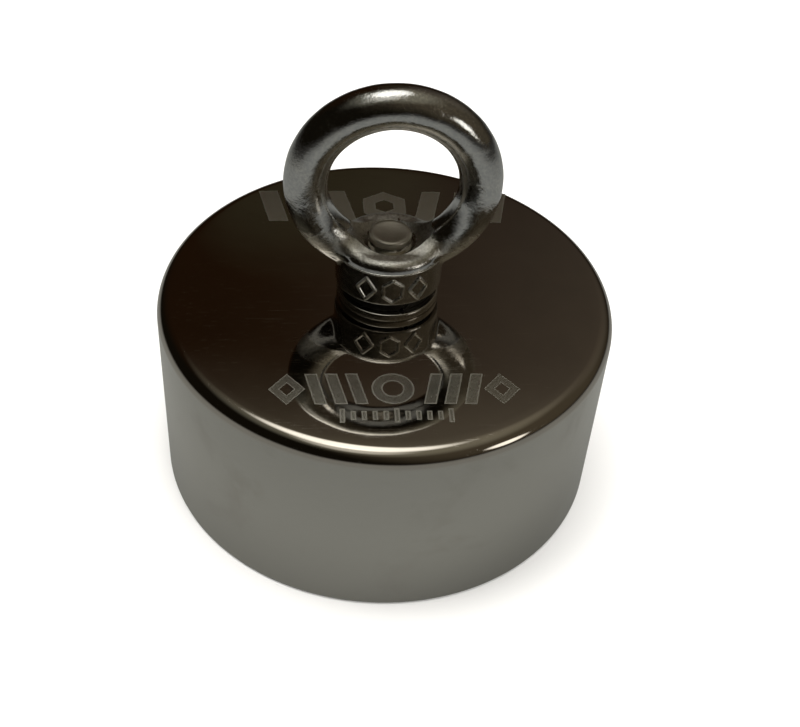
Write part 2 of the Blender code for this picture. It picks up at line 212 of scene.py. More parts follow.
def pot_material():
    """Plated steel: mirror top plate and rounded edge, satin side, ground rim underneath."""
    graph = Graph("pot_plated_steel")
    _, _, z = graph.parts()
    side = graph.spread(z, POT_TOP - 3.9 * MM, POT_TOP - 2.9 * MM, 1.0, 0.0)
    rim = graph.spread(z, 0.05 * MM, 0.5 * MM, 1.0, 0.0)
    smudge = graph.noise(70, detail=5, rough=0.62, distortion=0.6)
    haze = graph.spread(smudge, 0.52, 0.72, 0.0, 1.0)
    brushed = graph.noise(1.0, detail=5, rough=0.7, vector=graph.around(300, 16, 3600))
    stain = graph.noise(55, detail=6, rough=0.66, distortion=0.4)
    stained = graph.spread(stain, 0.56, 0.70, 0.0, 1.0)
    marks = scratches(graph, 1.7, 14 * MM, 0.12 * MM, 0.735)
    fine = scratches(graph, 0.6, 5 * MM, 0.05 * MM, 0.72)
    worn = graph.math("MAXIMUM", marks, graph.math("MULTIPLY", fine, 0.5))
    plate_rough = graph.math("ADD", graph.math("MULTIPLY_ADD", haze, 0.03, 0.03),
                             graph.math("MULTIPLY", worn, 0.08))
    side_rough = graph.math("ADD", graph.math("MULTIPLY_ADD", brushed, 0.05, 0.17),
                            graph.math("MULTIPLY", stained, 0.06))
    rough = graph.math("ADD", graph.math("MULTIPLY", side, side_rough),
                       graph.math("MULTIPLY", graph.math("SUBTRACT", 1.0, side), plate_rough))
    rough = graph.math("MAXIMUM", rough, graph.math("MULTIPLY", rim, 0.34))
    streak = graph.spread(brushed, 0.3, 0.7, 0, 1)
    clean = graph.mixed(streak, (0.455, 0.445, 0.415), (0.475, 0.465, 0.435))
    steel = graph.mixed(stained, clean, (0.43, 0.415, 0.385))
    plate = graph.mixed(graph.spread(smudge, 0.3, 0.8, 0, 1), (0.50, 0.46, 0.41), (0.44, 0.41, 0.37))
    colour = graph.mixed(side, plate, steel)
    waves = graph.noise(95, detail=1.5, rough=0.4)
    normal = graph.bump(waves, 0.0001, 0.3)
    normal = graph.bump(graph.math("MULTIPLY", brushed, side), 0.000005, 0.4, under=normal)
    normal = graph.bump(graph.math("SUBTRACT", 1.0, worn), 0.000006, 0.4, under=normal)
    return graph.finish(colour, rough, normal=normal)


def eye_material():
    """Forged stainless steel: polished by wheel, but still grained where a wheel can't reach."""
    graph = Graph("eye_polished_stainless")
    _, _, z = graph.parts()
    patch = graph.noise(150, detail=6, rough=0.68, distortion=0.8)
    grain = graph.noise(1900, detail=3, rough=0.62)
    peel = graph.noise(420, detail=2.5, rough=0.5)
    low = graph.spread(z, COLLAR_TOP + 1.5 * MM, COLLAR_TOP + 6.5 * MM, 1.0, 0.0)
    above_collar = graph.spread(z, COLLAR_PARTING + 0.5 * MM, COLLAR_TOP - 0.4 * MM, 0.0, 1.0)
    seat = graph.math("MULTIPLY", low, above_collar)
    ragged = graph.math("ADD", seat, graph.spread(patch, 0.3, 0.7, -0.35, 0.25))
    unpolished = graph.spread(ragged, 0.45, 0.85, 0.0, 1.0)
    blasted = graph.spread(patch, 0.53, 0.66, 0.0, 1.0)
    dull = graph.math("MAXIMUM", unpolished, graph.math("MULTIPLY", blasted, 0.45))
    rough = graph.math("ADD", graph.math("MULTIPLY_ADD", dull, 0.24, 0.09),
                       graph.math("MULTIPLY", graph.spread(grain, 0.45, 0.7, 0, 1), 0.05))
    speckle = graph.spread(grain, 0.38, 0.64, 0.0, 1.0)
    polished = graph.mixed(speckle, (0.44, 0.445, 0.445), (0.55, 0.545, 0.53))
    matte = graph.mixed(speckle, (0.48, 0.47, 0.435), (0.70, 0.685, 0.64))
    colour = graph.mixed(dull, polished, matte)
    normal = graph.bump(peel, 0.00007, 0.42)
    normal = graph.bump(grain, 0.00005, 0.55, under=normal)
    normal = graph.bump(graph.math("MULTIPLY", grain, dull), 0.00008, 0.8, under=normal)
    return graph.finish(colour, rough, normal=normal)


def bolt_material():
    """Bright stainless bolt whose end is cropped and grained."""
    graph = Graph("bolt_stainless")
    _, _, z = graph.parts()
    end = graph.spread(z, BOLT_HIGH.z - 1.6 * MM, BOLT_HIGH.z - 0.9 * MM, 0.0, 1.0)
    grain = graph.noise(1500, detail=4, rough=0.65)
    cloud = graph.noise(320, detail=4, rough=0.6)
    rings = graph.noise(1.0, detail=4, rough=0.6, vector=graph.around(4200, 3, 4200))
    colour = graph.mixed(cloud, (0.52, 0.49, 0.43), (0.38, 0.355, 0.30))
    rough = graph.math("ADD", graph.math("MULTIPLY_ADD", end, 0.20, 0.16),
                       graph.math("MULTIPLY", grain, 0.08))
    normal = graph.bump(rings, 0.00001, 0.5)
    normal = graph.bump(graph.math("MULTIPLY", grain, end), 0.00006, 0.7, under=normal)
    return graph.finish(colour, rough, normal=normal)


def turned_steel(name, light, dark, rough, grain=4200, grain_depth=0.00001, spots=260):
    """Steel with fine turning or rolling marks and slightly stained spots."""
    graph = Graph(name)
    rings = graph.noise(1.0, detail=4, rough=0.6, vector=graph.around(grain, 3, grain))
    stain = graph.noise(spots, detail=5, rough=0.65)
    share = graph.spread(stain, 0.42, 0.68, 0.0, 1.0)
    scuffs = scratches(graph, 2.3, 3 * MM, 0.06 * MM, 0.70)
    colour = graph.mixed(share, light, dark)
    roughness = graph.math("ADD", graph.math("MULTIPLY_ADD", share, 0.14, rough),
                           graph.math("MULTIPLY", scuffs, 0.1))
    normal = graph.bump(rings, grain_depth, 0.6)
    normal = graph.bump(stain, 0.00002, 0.3, under=normal)
    return graph.finish(colour, roughness, normal=normal)


def magnet_material():
    """Bright nickel plating over pressed powder: a soft sheen with fine pits and rub marks."""
    graph = Graph("magnet_nickel_plating")
    cloud = graph.noise(60, detail=5, rough=0.6, distortion=0.5)
    pits = graph.noise(1500, detail=2, rough=0.5)
    rubs = scratches(graph, 3.1, 16 * MM, 0.15 * MM, 0.70)
    more_rubs = scratches(graph, 1.1, 9 * MM, 0.10 * MM, 0.71)
    worn = graph.math("MAXIMUM", rubs, more_rubs)
    colour = graph.mixed(graph.spread(cloud, 0.3, 0.7, 0, 1), (0.62, 0.60, 0.55), (0.70, 0.68, 0.635))
    rough = graph.math("ADD", graph.math("MULTIPLY_ADD", cloud, 0.16, 0.18),
                       graph.math("MULTIPLY", worn, 0.16))
    normal = graph.bump(pits, 0.000012, 0.5)
    normal = graph.bump(graph.math("SUBTRACT", 1.0, worn), 0.00001, 0.5, under=normal)
    return graph.finish(colour, rough, normal=normal)


def epoxy_material():
    """Black potting resin: glossy, with levelling ripples and trapped dust."""
    graph = Graph("black_potting_resin")
    ripple = graph.noise(160, detail=2, rough=0.5)
    dust = graph.spread(graph.noise(2200, detail=1, rough=0.4), 0.66, 0.72, 0.0, 1.0)
    colour = graph.mixed(dust, (0.014, 0.014, 0.016), (0.09, 0.088, 0.085))
    rough = graph.math("MULTIPLY_ADD", dust, 0.35, 0.17)
    normal = graph.bump(ripple, 0.00015, 0.4)
    normal = graph.bump(dust, 0.00002, 0.5, under=normal)
    return graph.finish(colour, rough, metallic=0.0, normal=normal)


def etched_material(name, light, dark, rough):
    """Laser-frosted steel: evenly grained and paler than the mirror around it."""
    graph = Graph(name)
    grain = graph.noise(5200, detail=2, rough=0.6)
    mottled = graph.noise(180, detail=4, rough=0.6)
    colour = graph.mixed(graph.spread(mottled, 0.3, 0.7, 0, 1), light, dark)
    roughness = graph.math("MULTIPLY_ADD", mottled, 0.12, rough)
    normal = graph.bump(grain, 0.00001, 0.6)
    return graph.finish(colour, roughness, normal=normal)


def nylon_material():
    graph = Graph("natural_nylon")
    cloud = graph.noise(240, detail=4, rough=0.6)
    colour = graph.mixed(cloud, (0.70, 0.67, 0.60), (0.80, 0.78, 0.72))
    normal = graph.bump(graph.noise(1800, detail=2), 0.00002, 0.4)
    return graph.finish(colour, graph.math("MULTIPLY_ADD", cloud, 0.2, 0.42), metallic=0.0, normal=normal)


# ---------------------------------------------------------------- mesh helpers

def grid_faces(rows, columns, wrap_rows=False, wrap_columns=False, start=0):
    """Quads over a grid of points stored row by row."""
    faces = []
    for row in range(rows if wrap_rows else rows - 1):
        for column in range(columns if wrap_columns else columns - 1):
            below, beside = (row + 1) % rows, (column + 1) % columns
            faces.append((
                start + row * columns + column, start + row * columns + beside,
                start + below * columns + beside, start + below * columns + column,
            ))
    return faces


def make_piece(name, points, faces, material, sharp_deg=32.0):
    """A named mesh object with outward faces, smooth where it is round."""
    mesh = bpy.data.meshes.new(name)
    mesh.from_pydata([tuple(point) for point in points], [], faces)
    builder = bmesh.new()
    builder.from_mesh(mesh)
    bmesh.ops.remove_doubles(builder, verts=builder.verts, dist=1e-8)
    bmesh.ops.recalc_face_normals(builder, faces=builder.faces)
    builder.to_mesh(mesh)
    builder.free()
    mesh.shade_smooth()
    mesh.set_sharp_from_angle(angle=math.radians(sharp_deg))
    mesh.materials.append(material)
    piece = bpy.data.objects.new(name, mesh)
    bpy.context.scene.collection.objects.link(piece)
    return piece


def arc(centre, radius, start_deg, end_deg, steps):
    points = []
    for step in range(steps + 1):
        angle = math.radians(start_deg + (end_deg - start_deg) * step / steps)
        points.append((centre[0] + radius * math.cos(angle), centre[1] + radius * math.sin(angle)))
    return points


def turned(name, profile, material, segments=ROUND_SEGMENTS, closed=True):
    """Spins a (radius, height) outline about the pull axis; an open one ends on the axis."""
    angles = np.linspace(0, math.tau, segments, endpoint=False)
    profile = np.array(profile)
    points = np.stack([
        np.outer(profile[:, 0], np.cos(angles)), np.outer(profile[:, 0], np.sin(angles)),
        np.repeat(profile[:, 1:], segments, axis=1),
    ], axis=-1).reshape(-1, 3)
    faces = grid_faces(len(profile), segments, wrap_rows=closed, wrap_columns=True)
    return make_piece(name, points, faces, material)


def rounded_ring(inner, outer, low, high, outer_edge, inner_edge, steps=5):
    """Outline of a ring of rectangular section with all four corners rounded."""
    return (
        arc((inner + inner_edge, low + inner_edge), inner_edge, 180, 270, steps)
        + arc((outer - outer_edge, low + outer_edge), outer_edge, 270, 360, steps)
        + arc((outer - outer_edge, high - outer_edge), outer_edge, 0, 90, steps)
        + arc((inner + inner_edge, high - inner_edge), inner_edge, 90, 180, steps)
    )


def evaluated_copy(piece):
    """Applies a piece's modifiers to its mesh."""
    graph = bpy.context.evaluated_depsgraph_get()
    graph.update()
    mesh = bpy.data.meshes.new_from_object(piece.evaluated_get(graph))
    piece.modifiers.clear()
    piece.data = mesh
    return piece


def cut(piece, tool):
    """Takes the tool's shape out of a piece and removes the tool."""
    modifier = piece.modifiers.new("cut", "BOOLEAN")
    modifier.operation = "DIFFERENCE"
    modifier.solver = "EXACT"
    modifier.object = tool
    evaluated_copy(piece)
    bpy.data.objects.remove(tool, do_unlink=True)
    return piece


def stands_in(piece, body, slot, *nodes):
    """Puts a piece on its body in place of its CAD nodes."""
    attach(piece, body)
    if nodes:
        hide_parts(*nodes)
    return piece


# ---------------------------------------------------------------- pot

def plate_height(radius):
    """Height of the top plate's surface: flat under the washers, then falling towards the edge."""
    edge = POT_RADIUS - TOP_FILLET
    share = np.clip((radius - PLATE_FLAT_RADIUS) / (edge - PLATE_FLAT_RADIUS), 0, None)
    return POT_TOP - PLATE_CROWN * share**PLATE_CROWN_POWER


def build_pot(material):
    """Turned cup: crowned top plate, rounded edge, straight side, ground rim and deep cavity."""
    edge = POT_RADIUS - TOP_FILLET
    edge_height = float(plate_height(edge))
    break_edge = 0.25 * MM
    profile = [(STEM_HOLE_RADIUS, CAVITY_TOP)]
    profile += arc((STEM_HOLE_RADIUS + break_edge, POT_TOP - break_edge), break_edge, 180, 90, 4)
    plate_start, plate_steps = 0.6 * PLATE_FLAT_RADIUS, 28
    profile += [
        (radius, float(plate_height(radius)))
        for radius in np.linspace(plate_start, edge, plate_steps)[:-1]
    ]
    # The plate meets the rounded edge on a slope, so the round starts where its tangent has it
    slope = math.degrees(math.atan(
        PLATE_CROWN * PLATE_CROWN_POWER / (edge - PLATE_FLAT_RADIUS)
    ))
    corner = (edge, edge_height - TOP_FILLET)
    profile += arc(corner, TOP_FILLET, 90 - slope, 0, 18)
    side_high, side_low, side_steps = corner[1] - 0.35 * MM, 2 * FOOT_FILLET, 9
    profile += [(POT_RADIUS, height) for height in np.linspace(side_high, side_low, side_steps)]
    profile += arc((POT_RADIUS - FOOT_FILLET, FOOT_FILLET), FOOT_FILLET, 0, -90, 8)
    profile += arc((CAVITY_RADIUS + break_edge, break_edge), break_edge, 270, 180, 4)
    inner_corner = (CAVITY_RADIUS - CAVITY_FILLET, CAVITY_TOP - CAVITY_FILLET)
    profile += arc(inner_corner, CAVITY_FILLET, 0, 90, 6)
    pot = turned("pot_detailed", profile, material, segments=360)
    return stands_in(pot, "magnet", "pot_steel", "pot")


# ---------------------------------------------------------------- plate marks

MARK_PROUD = 0.012 * MM
MARK_DEPTH = 0.03 * MM
OUTLINE_WIDTH = 0.26 * MM
FRONT_ROW_Y = -28.1 * MM
FRONT_HEIGHT = 7.8 * MM
TICK_ROW_Y = -34.8 * MM
REAR_ROW_Y = 27.8 * MM
REAR_HEIGHT = 11 * MM


def sheet_on_plate(plan, wrap, lift=0.0):
    """A thin closed shell over a grid of (x, y) places, laid on the plate's surface."""
    rows, across = plan.shape[:2]
    surface = plate_height(np.hypot(plan[..., 0], plan[..., 1]))
    top = np.concatenate([plan, (surface + MARK_PROUD + lift)[..., None]], axis=-1)
    bottom = np.concatenate([plan, (surface - MARK_DEPTH)[..., None]], axis=-1)[:, ::-1]
    points = np.concatenate([top, bottom], axis=1).reshape(-1, 3)
    columns = 2 * across
    faces = grid_faces(rows, columns, wrap_rows=wrap, wrap_columns=True)
    if not wrap:
        faces.append(tuple(range(columns)))
        faces.append(tuple((rows - 1) * columns + column for column in range(columns))[::-1])
    return points, faces


def join_shells(shells):
    points, faces, count = [], [], 0
    for shell_points, shell_faces in shells:
        points.append(shell_points)
        faces += [tuple(index + count for index in face) for face in shell_faces]
        count += len(shell_points)
    return np.concatenate(points), faces


def dense(corners, steps=8):
    """Points along the closed outline, with the same number of steps on every edge."""
    corners = np.array(corners, float)
    shares = np.arange(steps)[:, None] / steps
    return np.concatenate([
        start + (end - start) * shares for start, end in zip(corners, np.roll(corners, -1, axis=0))
    ])


def regular(centre, radius, sides, turn_deg=0.0, squash=1.0):
    """Corners of a regular polygon, which may be narrower than it is high."""
    angles = [math.radians(turn_deg + 360 * side / sides) for side in range(sides)]
    return [
        (centre[0] + squash * radius * math.cos(angle), centre[1] + radius * math.sin(angle))
        for angle in angles
    ]


def band(outer, inner, across=3, lift=0.0):
    """The area between two outlines that have the same number of corners."""
    outer, inner = dense(outer), dense(inner)
    shares = np.linspace(0, 1, across)[None, :, None]
    return sheet_on_plate(outer[:, None] * (1 - shares) + inner[:, None] * shares, wrap=True, lift=lift)


def ring_figure(centre, outer, inner, sides, turn_deg=0.0, squash=1.0):
    """A frosted band of a polygon or circle, and its two brighter outlines."""
    def outline(radius):
        return regular(centre, radius, sides, turn_deg, squash)
    fill = band(outline(outer), outline(inner), across=4)
    edges = [
        band(outline(outer), outline(outer - OUTLINE_WIDTH), lift=MARK_PROUD / 2),
        band(outline(inner + OUTLINE_WIDTH), outline(inner), lift=MARK_PROUD / 2),
    ]
    return fill, edges


def bar_corners(centre, width, height, lean, inset=0.0):
    """Corners of an upright bar that leans sideways, drawn in by inset all round."""
    x, y = centre
    half_width, half_height = width / 2 - inset, height / 2 - inset
    shift = lean * half_height / height
    return [
        (x - half_width - shift, y - half_height), (x + half_width - shift, y - half_height),
        (x + half_width + shift, y + half_height), (x - half_width + shift, y + half_height),
    ]


def bar_figure(centre, width, height, lean):
    """A frosted bar and its brighter outline."""
    low_left, low_right, high_right, high_left = np.array(bar_corners(centre, width, height, lean))
    rise = np.linspace(0, 1, 12)[:, None, None]
    run = np.linspace(0, 1, 6)[None, :, None]
    left, right = low_left * (1 - rise) + high_left * rise, low_right * (1 - rise) + high_right * rise
    fill = sheet_on_plate(left * (1 - run) + right * run, wrap=False)
    edge = band(
        bar_corners(centre, width, height, lean),
        bar_corners(centre, width, height, lean, inset=OUTLINE_WIDTH), lift=MARK_PROUD / 2,
    )
    return fill, [edge]


def front_figures():
    """A row of plain figures: lozenges, slanted bars and a ring, with a row of ticks below."""
    half = FRONT_HEIGHT / 2
    figures = [ring_figure((-0.4 * MM, FRONT_ROW_Y), half, half * 0.48, 64)]
    for side in (-1, 1):
        lozenge = (side * 19.6 * MM, FRONT_ROW_Y)
        figures.append(ring_figure(lozenge, half, half * 0.4, 4, squash=0.86))
        for index in range(3):
            middle = (side * (14.4 - index * 3.7) * MM, FRONT_ROW_Y)
            figures.append(bar_figure(middle, 2.3 * MM, FRONT_HEIGHT, side * 1.8 * MM))
    for index in range(-5, 6):
        height = (3.4 if index % 5 == 0 else 2.2) * MM
        figures.append(bar_figure((index * 1.95 * MM, TICK_ROW_Y), 0.95 * MM, height, 0.0))
    return figures


def rear_figures():
    """Bold slanted bars either side of a hexagon, behind the eye."""
    shift = 0.9 * MM
    figures = [ring_figure((shift, REAR_ROW_Y), 5.2 * MM, 2.2 * MM, 6, turn_deg=30)]
    for side in (-1, 1):
        for index in range(3):
            centre = (side * (23.6 - index * 7.2) * MM + shift, REAR_ROW_Y)
            figures.append(bar_figure(centre, 4.0 * MM, REAR_HEIGHT, side * 2.4 * MM))
    return figures


def build_plate_marks():
    light_etch = etched_material("lightly_frosted_marks", (0.52, 0.51, 0.46), (0.45, 0.44, 0.39), 0.20)
    deep_etch = etched_material("deeply_frosted_marks", (0.56, 0.55, 0.49), (0.50, 0.48, 0.42), 0.27)
    outlined = etched_material("frosted_outlines", (0.60, 0.59, 0.54), (0.54, 0.53, 0.48), 0.30)
    rows = (("front", front_figures(), light_etch), ("rear", rear_figures(), deep_etch))
    for place, figures, frosted in rows:
        fills = join_shells([fill for fill, _ in figures])
        edges = join_shells([edge for _, edges in figures for edge in edges])
        stands_in(make_piece(f"{place}_marks_frosted", *fills, frosted), "magnet", "pot_steel")
        stands_in(make_piece(f"{place}_marks_outlines", *edges, outlined), "magnet", "pot_steel")


# ---------------------------------------------------------------- washers

SEAT = 0.01 * MM
SPRING_FOOT = SPRING_LOW.z - 0.05 * MM


def build_flat_washer():
    steel = turned_steel("washer_stainless", (0.50, 0.485, 0.455), (0.40, 0.385, 0.355), 0.13)
    profile = rounded_ring(
        WASHER_BORE, WASHER_HIGH.x, POT_TOP + SEAT, SPRING_FOOT - SEAT, 0.32 * MM, 0.15 * MM
    )
    washer = turned("flat_washer_detailed", profile, steel, segments=192)
    stands_in(washer, "magnet", "washer_steel", "flat_washer")


def build_spring_washer():
    """A ring of steel painted near black with the shade it sits in under the collar, split on the slant,
    with bright cut ends.
    """
    low, high = SPRING_FOOT, NUT_LOW.z - SEAT
    outer = max(SPRING_HIGH.x, SPRING_HIGH.y)
    section = np.array(rounded_ring(WASHER_BORE, outer, low, high, 0.22 * MM, 0.12 * MM, steps=3))
    slit_angle = math.radians(-90 + SLIT_TURN_DEG)
    half_slit = SLIT_HALF / outer
    lean = SLIT_LEAN / outer
    rows = 160
    height_share = (section[:, 1] - low) / (high - low) - 0.5
    points = []
    for row in range(rows):
        share = row / (rows - 1)
        bend = lean * height_share * (2 * abs(share - 0.5))
        angle = slit_angle + half_slit + share * (math.tau - 2 * half_slit) + bend
        radius, height = section.T
        points.append(np.stack([radius * np.cos(angle), radius * np.sin(angle), height], 1))
    columns = len(section)
    faces = grid_faces(rows, columns, wrap_columns=True)
    faces.append(tuple(range(columns)))
    faces.append(tuple((rows - 1) * columns + column for column in range(columns))[::-1])
    # Painted shade: the washer's body is painted near black for the shadow under the collar; the cut ends
    # keep the steel's own paler colour
    painted_shade_steel = turned_steel("spring_washer_painted_shade", (0.055, 0.054, 0.052), (0.035, 0.034, 0.033), 0.34)
    cut_steel = turned_steel("spring_washer_cut_ends", (0.66, 0.65, 0.61), (0.52, 0.51, 0.48), 0.30)
    washer = make_piece("spring_washer_detailed", np.concatenate(points), faces, painted_shade_steel)
    washer.data.materials.append(cut_steel)
    for face in washer.data.polygons:
        if len(face.vertices) == columns:
            face.material_index = 1
    stands_in(washer, "lock_washer", "washer_steel", "spring_washer")


# ---------------------------------------------------------------- threads and bolt

def thread_radius(share, crest, root):
    """Radius along one pitch of a V thread with a flat crest and a rounded root."""
    rise = np.abs((share + 0.5) % 1.0 - 0.5) * 2
    flank = np.clip((rise - 0.125) / 0.75, 0, 1)
    soft = flank**2 * (3 - 2 * flank)
    return crest - (crest - root) * (0.75 * flank + 0.25 * soft)


def thread_grid(crest, root, low, high, segments, limit=None, per_pitch=12):
    """Points of a right-hand thread: columns of level points, each radius read off the helix."""
    rows = int(math.ceil((high - low) / THREAD_PITCH * per_pitch)) + 1
    heights = np.linspace(low, high, rows)[:, None]
    angles = np.linspace(0, math.tau, segments, endpoint=False)[None, :]
    share = heights / THREAD_PITCH - angles / math.tau - CREST_MIDDLE
    radius = thread_radius(share, crest, root)
    if limit is not None:
        radius = limit(radius, heights)
    return np.stack([radius * np.cos(angles), radius * np.sin(angles), heights + 0 * radius], -1), rows


def level_rings(outline, angles, oval=1.0):
    """Rings of points about the pull axis, one for each (radius, height), widened along X by oval."""
    cosines, sines = np.cos(angles), np.sin(angles)
    return np.stack([
        np.stack([oval * radius * cosines, radius * sines, np.full(len(angles), height)], -1)
        for radius, height in outline
    ])


def build_bolt(steel):
    """Countersunk socket head, stem, thread with a run-out, and a plain round point."""
    head_low = BOLT_LOW.z
    stem = BOLT_STEM_RADIUS
    end = BOLT_HIGH.z
    thread_low = end - THREAD_LENGTH

    def run_out(radius, heights):
        blend = np.clip((heights - thread_low) / (1.2 * THREAD_PITCH), 0, 1)
        radius = stem + (radius - stem) * blend
        return np.minimum(radius, POINT_RADIUS + np.maximum(end - POINT_LENGTH - heights, 0))

    segments = 96
    grid, rows = thread_grid(THREAD_CREST, THREAD_ROOT, thread_low, end - POINT_ROUND, segments, run_out)
    angles = np.linspace(0, math.tau, segments, endpoint=False)
    edge = 0.15 * MM
    cone_top = head_low + HEAD_LAND + HEAD_RADIUS - stem
    outline = [(0.0, head_low)]
    outline += arc((HEAD_RADIUS - edge, head_low + edge), edge, 270, 360, 4)
    outline += [
        (HEAD_RADIUS, head_low + HEAD_LAND), (stem + 0.3 * MM, cone_top - 0.3 * MM),
        (stem, cone_top + 0.1 * MM),
    ]
    dish = arc((POINT_RADIUS - POINT_ROUND, end - POINT_ROUND), POINT_ROUND, 0, 80, 6)
    dish += [(POINT_RADIUS * 0.74, end), (POINT_RADIUS * 0.68, end - 0.05 * MM), (0.0, end - 0.02 * MM)]
    levels = np.concatenate([level_rings(outline, angles), grid, level_rings(dish, angles)])
    points, count = levels.reshape(-1, 3), len(outline) + rows + len(dish)
    bolt = make_piece("bolt_detailed", points, grid_faces(count, segments, wrap_columns=True), steel)
    cut_socket(bolt, head_low, steel)
    bolt.data.shade_smooth()
    bolt.data.set_sharp_from_angle(angle=math.radians(32))
    return stands_in(bolt, "magnet", "bolt_steel", "countersunk_bolt")


def cut_socket(bolt, head_low, steel):
    """The key's hexagonal hole, its drilled end and its chamfered lip."""
    key = regular((0, 0), SOCKET_CORNER, 6)
    wall = [[(x, y, height) for x, y in key] for height in (head_low - 1 * MM, head_low + SOCKET_DEPTH)]
    tip = [(0.25 * x, 0.25 * y, head_low + SOCKET_DEPTH + 0.9 * MM) for x, y in key]
    faces = grid_faces(3, 6, wrap_columns=True) + [tuple(range(6)), tuple(range(12, 18))]
    cut(bolt, make_piece("socket_tool", wall[0] + wall[1] + tip, faces, steel))
    lip = 0.35 * MM
    cone = [
        (0.0, head_low - lip), (SOCKET_CORNER + 2 * lip, head_low - lip),
        (0.0, head_low + SOCKET_CORNER + lip),
    ]
    cut(bolt, turned("lip_tool", cone, steel, segments=48, closed=False))


# ---------------------------------------------------------------- eye nut

RING_RADIUS = NUT_HIGH.x - EYE_BAR_RADIUS
RING_CENTRE = NUT_HIGH.z - NUT_HIGH.x
OUTER_FILLET = 0.6 * MM  # where the ring runs into the collar's side
INNER_FILLET_GAIN = 2.0 * MM  # how much wider it is inside the eye
FILLET_START = 3.2 * MM  # the fillet widens from here below the collar's top
FILLET_RISE = 3.0 * MM
WAVE_HEIGHT = 0.008 * MM
FORGING_WAVES = (((1.1, 0.3, 0.6), 0.4), ((-0.5, 1.2, 0.9), 1.9), ((0.8, -0.9, -1.3), 3.1))


def rounded_both(first, second, radius):
    """Distance to what lies inside both shapes, with their edge rounded."""
    inside = np.minimum(np.maximum(first + radius, second + radius), 0)
    outside = np.hypot(np.maximum(first + radius, 0), np.maximum(second + radius, 0))
    return inside + outside - radius


def blended_either(first, second, radius):
    """Distance to what lies inside either shape, with a fillet where they meet."""
    apart = np.maximum(radius, np.minimum(first, second))
    near = np.hypot(np.maximum(radius - first, 0), np.maximum(radius - second, 0))
    return apart - near


def collar_radius(height):
    """Front-to-back radius of the collar: it widens up to the parting line, then draws in."""
    rise = np.clip((height - NUT_LOW.z) / (COLLAR_PARTING - NUT_LOW.z), 0, 1)
    past = np.clip((height - COLLAR_PARTING) / (COLLAR_TOP - COLLAR_PARTING), 0, 1)
    widest = NUT_HIGH.y - 0.05 * MM
    return COLLAR_FOOT_RADIUS + (widest - COLLAR_FOOT_RADIUS) * rise - COLLAR_DRAW_IN * past


def eye_distance(points):
    """Signed distance to the forged eye, without its bore."""
    x, y, z = points.T
    ring = np.hypot(np.hypot(x, z - RING_CENTRE) - RING_RADIUS, y) - EYE_BAR_RADIUS
    side = np.hypot(x / COLLAR_OVAL, y) - collar_radius(z)
    collar = rounded_both(side, z - COLLAR_TOP, COLLAR_TOP_ROUND)
    collar = rounded_both(collar, NUT_LOW.z - z, COLLAR_FOOT_ROUND)
    inside = np.clip((z - COLLAR_TOP + FILLET_START) / FILLET_RISE, 0, 1)
    fillet = OUTER_FILLET + INNER_FILLET_GAIN * inside**2 * (3 - 2 * inside)
    shape = blended_either(ring, collar, fillet)
    # Slight waves of a hand-polished forging; their count is added, so that they only take steel away
    waves = sum(np.sin(points @ np.array(wave) * 1000 + phase) for wave, phase in FORGING_WAVES)
    above = np.clip((z - COLLAR_TOP) / (4 * MM), 0, 1)
    return shape + WAVE_HEIGHT * (waves + len(FORGING_WAVES)) * above


def project_to_eye(points, rounds):
    """Moves points along the distance's slope onto the eye's surface."""
    step = 0.01 * MM
    for _ in range(rounds):
        value = eye_distance(points)
        slope = np.stack([
            (eye_distance(points + step * axis) - eye_distance(points - step * axis)) / (2 * step)
            for axis in np.eye(3)
        ], axis=1)
        points = points - slope * (value / np.maximum((slope**2).sum(1), 0.1))[:, None]
    return points


def set_points(mesh, points):
    mesh.vertices.foreach_set("co", points.astype(np.float32).ravel())
    mesh.update()


def get_points(mesh):
    points = np.zeros(len(mesh.vertices) * 3, np.float32)
    mesh.vertices.foreach_get("co", points)
    return points.reshape(-1, 3).astype(float)


def eye_blank(material):
    """Ring and collar as plain overlapping shells, remeshed to one skin and drawn onto the forging."""
    around = np.linspace(0, math.tau, 96, endpoint=False)[:, None]
    about = np.linspace(0, math.tau, 32, endpoint=False)[None, :]
    reach = RING_RADIUS + EYE_BAR_RADIUS * np.cos(about)
    ring = np.stack([
        reach * np.cos(around), EYE_BAR_RADIUS * np.sin(about) + 0 * around,
        RING_CENTRE + reach * np.sin(around),
    ], -1).reshape(-1, 3)
    angles = np.linspace(0, math.tau, 96, endpoint=False)
    outline = [
        (0, NUT_LOW.z), (COLLAR_FOOT_RADIUS, NUT_LOW.z),
        (COLLAR_FOOT_RADIUS, COLLAR_TOP), (0, COLLAR_TOP),
    ]
    collar = level_rings(outline, angles, COLLAR_OVAL).reshape(-1, 3)
    points, faces = join_shells([
        (ring, grid_faces(96, 32, wrap_rows=True, wrap_columns=True)),
        (collar, grid_faces(4, 96, wrap_columns=True)),
    ])
    blank = make_piece("eye_nut_detailed", points, faces, material)
    remesh = blank.modifiers.new("skin", "REMESH")
    remesh.mode = "VOXEL"
    remesh.voxel_size = 0.5 * MM
    evaluated_copy(blank)
    set_points(blank.data, project_to_eye(get_points(blank.data), 6))
    finer = blank.modifiers.new("finer", "SUBSURF")
    finer.levels = finer.render_levels = 1
    evaluated_copy(blank)
    set_points(blank.data, project_to_eye(get_points(blank.data), 4))
    return blank


def thread_tool(steel):
    """What the tap takes out of the eye nut's collar."""
    segments = 64
    low, high = NUT_LOW.z - 2 * MM, COLLAR_TOP + 4 * MM
    grid, rows = thread_grid(
        THREAD_CREST + THREAD_CLEARANCE, THREAD_ROOT + THREAD_CLEARANCE, low, high, segments, per_pitch=8,
    )
    centre_low = np.tile([0, 0, low], (1, segments, 1))
    centre_high = np.tile([0, 0, high], (1, segments, 1))
    points = np.concatenate([centre_low, grid, centre_high]).reshape(-1, 3)
    return make_piece("tap_tool", points, grid_faces(rows + 2, segments, wrap_columns=True), steel)


